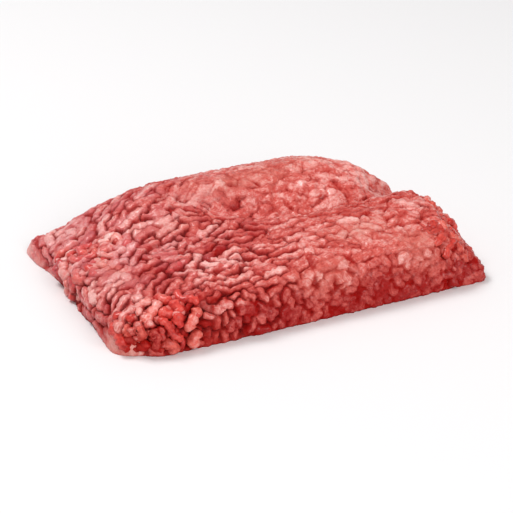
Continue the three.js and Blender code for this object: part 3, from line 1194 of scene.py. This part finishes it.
@dataclass
class MeatBed:
    """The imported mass: one closed skin, raised where strands are fused side by side."""

    form: LoafForm
    cell: float = 0.77
    clearance: float = 0.03
    recess: float = 1.4
    lumps: Ripple = Ripple(2.6, 8, 7)

    def net(self) -> tuple[Array, Array]:
        """Lays four-sided cells over the box round the slab, open below.

        Returns:
            The points, and four point numbers a face. The last row of points is the foot.
        """
        columns = int(self.form.length / self.cell)
        rows = int(self.form.width / self.cell)
        x, y = np.meshgrid(
            np.linspace(-0.5, 0.5, columns + 1) * self.form.length,
            np.linspace(-0.5, 0.5, rows + 1) * self.form.width,
        )
        top = np.stack([x, y, self.form.top(x, y)], axis=-1)
        number = np.arange(top[..., 0].size).reshape(x.shape)
        cells = [number[:-1, :-1], number[:-1, 1:], number[1:, 1:], number[1:, :-1]]
        edges = (number[0, :-1], number[:-1, -1], number[-1, :0:-1], number[:0:-1, 0])
        loop = np.concatenate(edges)
        corner = top.reshape(-1, 3)[loop]
        steps = int(corner[:, 2].max() / self.cell * 0.85)
        walls = np.repeat(corner[None], steps, axis=0)
        walls[..., 2] *= 1.0 - np.arange(1, steps + 1)[:, None] / steps
        below = number.size + np.arange(steps * len(loop)).reshape(steps, -1)
        levels = np.vstack([loop, below])
        following = np.roll(levels, -1, axis=1)
        bands = [levels[:-1], levels[1:], following[1:], following[:-1]]
        points = np.concatenate([top.reshape(-1, 3), walls.reshape(-1, 3)])
        quads = [np.stack(part, axis=-1).reshape(-1, 4) for part in (cells, bands)]
        return points, np.concatenate(quads)

    def relaxed(self, points: Array, quads: Array, foot: int) -> Array:
        """Settles the net on the skin and evens out its cells.

        Args:
            points: The net's points.
            quads: Its faces.
            foot: How many of the last points keep to the floor.

        Returns:
            The points on the skin.
        """
        points = self.form.settle(points, 12)
        ends = np.concatenate([quads[:, [side, (side + 1) % 4]] for side in range(4)])
        counts = np.bincount(ends.ravel(), minlength=len(points))[:, None]
        for _ in range(4):
            total = np.stack(
                [
                    np.bincount(ends[:, 0], points[ends[:, 1], axis], len(points))
                    + np.bincount(ends[:, 1], points[ends[:, 0], axis], len(points))
                    for axis in range(3)
                ],
                axis=-1,
            )
            moved = total / counts
            moved[-foot:] = points[-foot:]
            points = self.form.settle(moved, 2)
        points[-foot:, 2] = 0.0
        return points

    def build(self, strands: list[Strand]) -> bpy.types.Object:
        """Raises the skin over the strands and closes it below.

        Args:
            strands: The strands.

        Returns:
            The bed, with its colours' attributes and no material.
        """
        points, quads = self.net()
        foot = 2 * (int(self.form.length / self.cell) + int(self.form.width / self.cell))
        points = self.relaxed(points, quads, foot)
        normals = self.form.outward(points)
        relief = Relief()
        raised = relief.raised(points, relief.sampled(strands, np.random.default_rng(70)))
        fine = 0.15 + 0.17 * raised.pop("grain")
        height = raised.pop("height") + fine * self.lumps.at(points)
        shaped = points + normals * height[:, None]
        shaped[:, 2] = np.maximum(shaped[:, 2], self.clearance)
        shaped[-foot:, 2] = self.clearance
        middle = np.array([0.0, 0.0, self.recess])
        inner = shaped[-foot:] * np.array([0.975, 0.965, 0.0]) + middle
        start = len(shaped)
        outer_loop = np.arange(start - foot, start)
        inner_loop = np.arange(start, start + foot)
        ring = [outer_loop, inner_loop, np.roll(inner_loop, -1), np.roll(outer_loop, -1)]
        hub = np.full(foot // 2, start + foot)
        fans = [inner_loop[::2], hub, np.roll(inner_loop, -2)[::2], inner_loop[1::2]]
        quads = np.concatenate([quads, np.stack(ring, axis=-1), np.stack(fans, axis=-1)])
        piece = joined_object("meat_bed", np.concatenate([shaped, inner, [middle]]), quads)
        for name, value in raised.items():
            raised[name] = np.append(value, np.full(foot + 1, value[-1]))
        keep_values(piece, raised)
        return piece


def on_long_sides(form: LoafForm, p: Array) -> Array:
    """Whether points lie on the steep long sides, front or back.

    Args:
        form: The slab's form.
        p: Points in mm.

    Returns:
        True for each point that does.
    """
    near = form.edge(p[..., 0], p[..., 1]) < 20.0
    edge = 0.64 + 0.14 * Ripple(9.0, 12, 6).at(p)
    return near & (np.abs(form.outward(p)[..., 1]) > edge) & (np.abs(p[..., 0]) < 92.0 + p[..., 2])


@dataclass
class OuterMeat:
    """The strands that show, sorted by kind."""

    form: LoafForm
    grain: Grain
    seed: int = 20

    def strands(self) -> list[Strand]:
        """Lays rows of strands on the top and the ends, then crumbs on the long sides."""
        room = RoomMap(5.3)
        rows = StrandBed(
            self.form,
            self.grain,
            lengths=((11, 18), (7, 11), (4, 7), (2.5, 4), (1.2, 2.5)),
            radius=(2.45, 3.05),
            seed=self.seed,
            count=24000,
            wander=20.0,
            allowed=lambda p: ~on_long_sides(self.form, p),
        )
        crumbs = StrandBed(
            self.form,
            self.grain,
            lengths=((4, 6), (2.4, 4), (1.2, 2.4)),
            radius=(1.6, 2.1),
            seed=self.seed + 5,
            count=14000,
            inset=22.0,
            wander=50.0,
            curl=4.0,
            steps=5,
        )
        return [*rows.lay(room), *crumbs.lay(room.shared(3.4))]

    def build(self) -> None:
        """Lays the strands, fuses them into the bed and makes those that stand out of it."""
        strands = self.strands()
        bed = MeatBed(self.form).build(strands)
        dress(bed, PACKED.material())
        rng = np.random.default_rng(self.seed + 1)
        draw = rng.uniform(size=len(strands))
        middles = np.array([strand.middle() for strand in strands])
        loose, press = loose_places(middles), pressed_places(middles)
        short = np.array([len(strand.path) < 5 for strand in strands])
        coarse = np.array([strand.radius > 2.2 for strand in strands])
        share = (0.01 + 0.05 * coarse + 0.6 * loose) * (1.0 - press)
        out = rng.uniform(size=len(strands)) < share
        fat = short & (draw > 0.98) & (press < 0.3)
        out |= fat
        bright = out & (draw < 0.08 + 0.4 * loose)
        pink = out & (draw > 0.88) & ~bright & ~fat
        kinds = (
            ("lean_strands", out & ~(bright | pink | fat), Tone.LEAN, LEAN),
            ("bright_strands", bright, Tone.BRIGHT, BRIGHT),
            ("pink_strands", pink, Tone.PINK, PINK),
            ("fat_crumbs", fat, Tone.FAT, FAT),
        )
        shape = StrandShape(self.form, pressed=pressed_places)
        for name, chosen, tone, finish in kinds:
            picked = [strand for strand, use in zip(strands, chosen) if use]
            piece = StrandMesh(name, shape, tone, self.seed + 2).build(picked)
            dress(piece, finish.material())
        LOG.info("outer strands: %d, of which %d stand out", len(strands), int(out.sum()))


@dataclass
class LooseMeat:
    """Curled strands that hang together loosely at the corners, proud of the mass."""

    form: LoafForm
    grain: Grain

    def build(self) -> None:
        """Lays curls in the loose places."""
        bed = StrandBed(
            self.form,
            self.grain,
            lengths=((10, 17), (6, 10), (3, 6)),
            radius=(2.1, 3.5),
            seed=80,
            count=9000,
            wander=75.0,
            curl=6.0,
            foot=2.4,
            allowed=lambda p: loose_places(p) > 0.3,
        )
        shape = StrandShape(
            self.form,
            proudness=1.5,
            ring_gap=1.5,
            lumps=0.2,
            sway=0.6,
            dip=0.8,
            proud=2.1,
            squeeze=0.7,
        )
        strands = bed.lay(RoomMap(6.6, 0.7))
        bright = StrandMesh("loose_bright_strands", shape, Tone.BRIGHT, 81)
        pale = StrandMesh("loose_pale_strands", shape, Tone.LEAN, 82)
        dress(bright.build(strands[::2]), LOOSE_BRIGHT.material())
        dress(pale.build(strands[1::2]), LOOSE_PALE.material())


@dataclass
class UndersideMeat:
    """The flat underside: strands pressed against what the slab stands on."""

    def allowed(self, p: Array) -> Array:
        """Whether points lie far enough inside the outline."""
        return LoafForm().edge(p[..., 0], p[..., 1]) > 3.2 + corner_dent(p)

    def build(self) -> None:
        """Lays and flattens the strands of the underside."""
        skin = Underside()
        bed = StrandBed(
            skin,
            Grain(),
            lengths=((14, 20), (8, 14), (4, 8), (2, 4)),
            radius=(2.7, 3.0),
            seed=60,
            count=7000,
            foot=-1.0,
            allowed=self.allowed,
        )
        shape = StrandShape(skin, proudness=0.7, ring_gap=2.4, proud=-0.1, squeeze=0.06)
        piece = StrandMesh("underside_strands", shape, Tone.LEAN, 61).build(bed.lay(RoomMap(4.9)))
        dress(piece, UNDERNEATH.material())


@dataclass
class Studio:
    """Pale floor, soft light and the photo's camera. Places are in metres."""

    eye: tuple[float, float, float] = (-0.3493, -0.7190, 0.4035)
    aim: tuple[float, float, float] = (0.0050, 0.0073, 0.0006)
    lens: float = 36.0 * 1600.0 / 513.0

    def floor(self) -> None:
        """A wide pale floor."""
        shape = bmesh.new()
        bmesh.ops.create_grid(shape, x_segments=1, y_segments=1, size=4.0)
        mesh = bpy.data.meshes.new("studio_floor")
        shape.to_mesh(mesh)
        shape.free()
        ground = bpy.data.objects.new("studio_floor", mesh)
        bpy.context.scene.collection.objects.link(ground)
        paint = bpy.data.materials.new("Pale floor")
        paint.use_nodes = True
        shader = paint.node_tree.nodes["Principled BSDF"]
        shader.inputs["Base Color"].default_value = (0.84, 0.83, 0.835, 1.0)
        shader.inputs["Roughness"].default_value = 0.9
        mesh.materials.append(paint)

    def area(self, name: str, place: tuple[float, float, float], size: float, power: float) -> None:
        """Adds a soft square light that faces the slab.

        Args:
            name: Its name.
            place: Where it hangs, in metres.
            size: Its side, in metres.
            power: Its power, in watts.
        """
        data = bpy.data.lights.new(name, "AREA")
        data.size = size
        data.energy = power
        lamp = bpy.data.objects.new(name, data)
        lamp.location = place
        lamp.rotation_euler = (-Vector(place)).to_track_quat("-Z", "Y").to_euler()
        bpy.context.scene.collection.objects.link(lamp)

    def build(self) -> None:
        """Sets up floor, lights, world and camera."""
        bpy.context.scene.view_settings.view_transform = "Standard"
        self.floor()
        self.area("key_light", (-0.65, 0.65, 1.65), 0.7, 21.5)
        self.area("fill_light", (0.2, -1.6, 1.0), 1.5, 20.0)
        self.world()
        self.camera()

    def world(self) -> None:
        """Soft light from all round."""
        world = bpy.data.worlds.new("Studio world")
        world.use_nodes = True
        background = world.node_tree.nodes["Background"]
        background.inputs["Color"].default_value = (1.0, 0.99, 0.985, 1.0)
        background.inputs["Strength"].default_value = 0.45
        bpy.context.scene.world = world

    def camera(self) -> None:
        """The camera, from the photo's point of view."""
        data = bpy.data.cameras.new("camera")
        data.lens = self.lens
        data.sensor_width = 36.0
        data.clip_start = 0.01
        camera = bpy.data.objects.new("camera", data)
        camera.location = self.eye
        aim = Vector(self.aim) - Vector(self.eye)
        camera.rotation_euler = aim.to_track_quat("-Z", "Y").to_euler()
        bpy.context.scene.collection.objects.link(camera)
        bpy.context.scene.camera = camera


def main() -> None:
    """Builds the studio, the bed with its strands, the loose curls and the underside."""
    logging.basicConfig(level=logging.INFO, format="%(name)s %(message)s")
    form = LoafForm()
    grain = Grain()
    Studio().build()
    OuterMeat(form, grain).build()
    LooseMeat(form, grain).build()
    UndersideMeat().build()


if __name__ == "__main__":
    main()
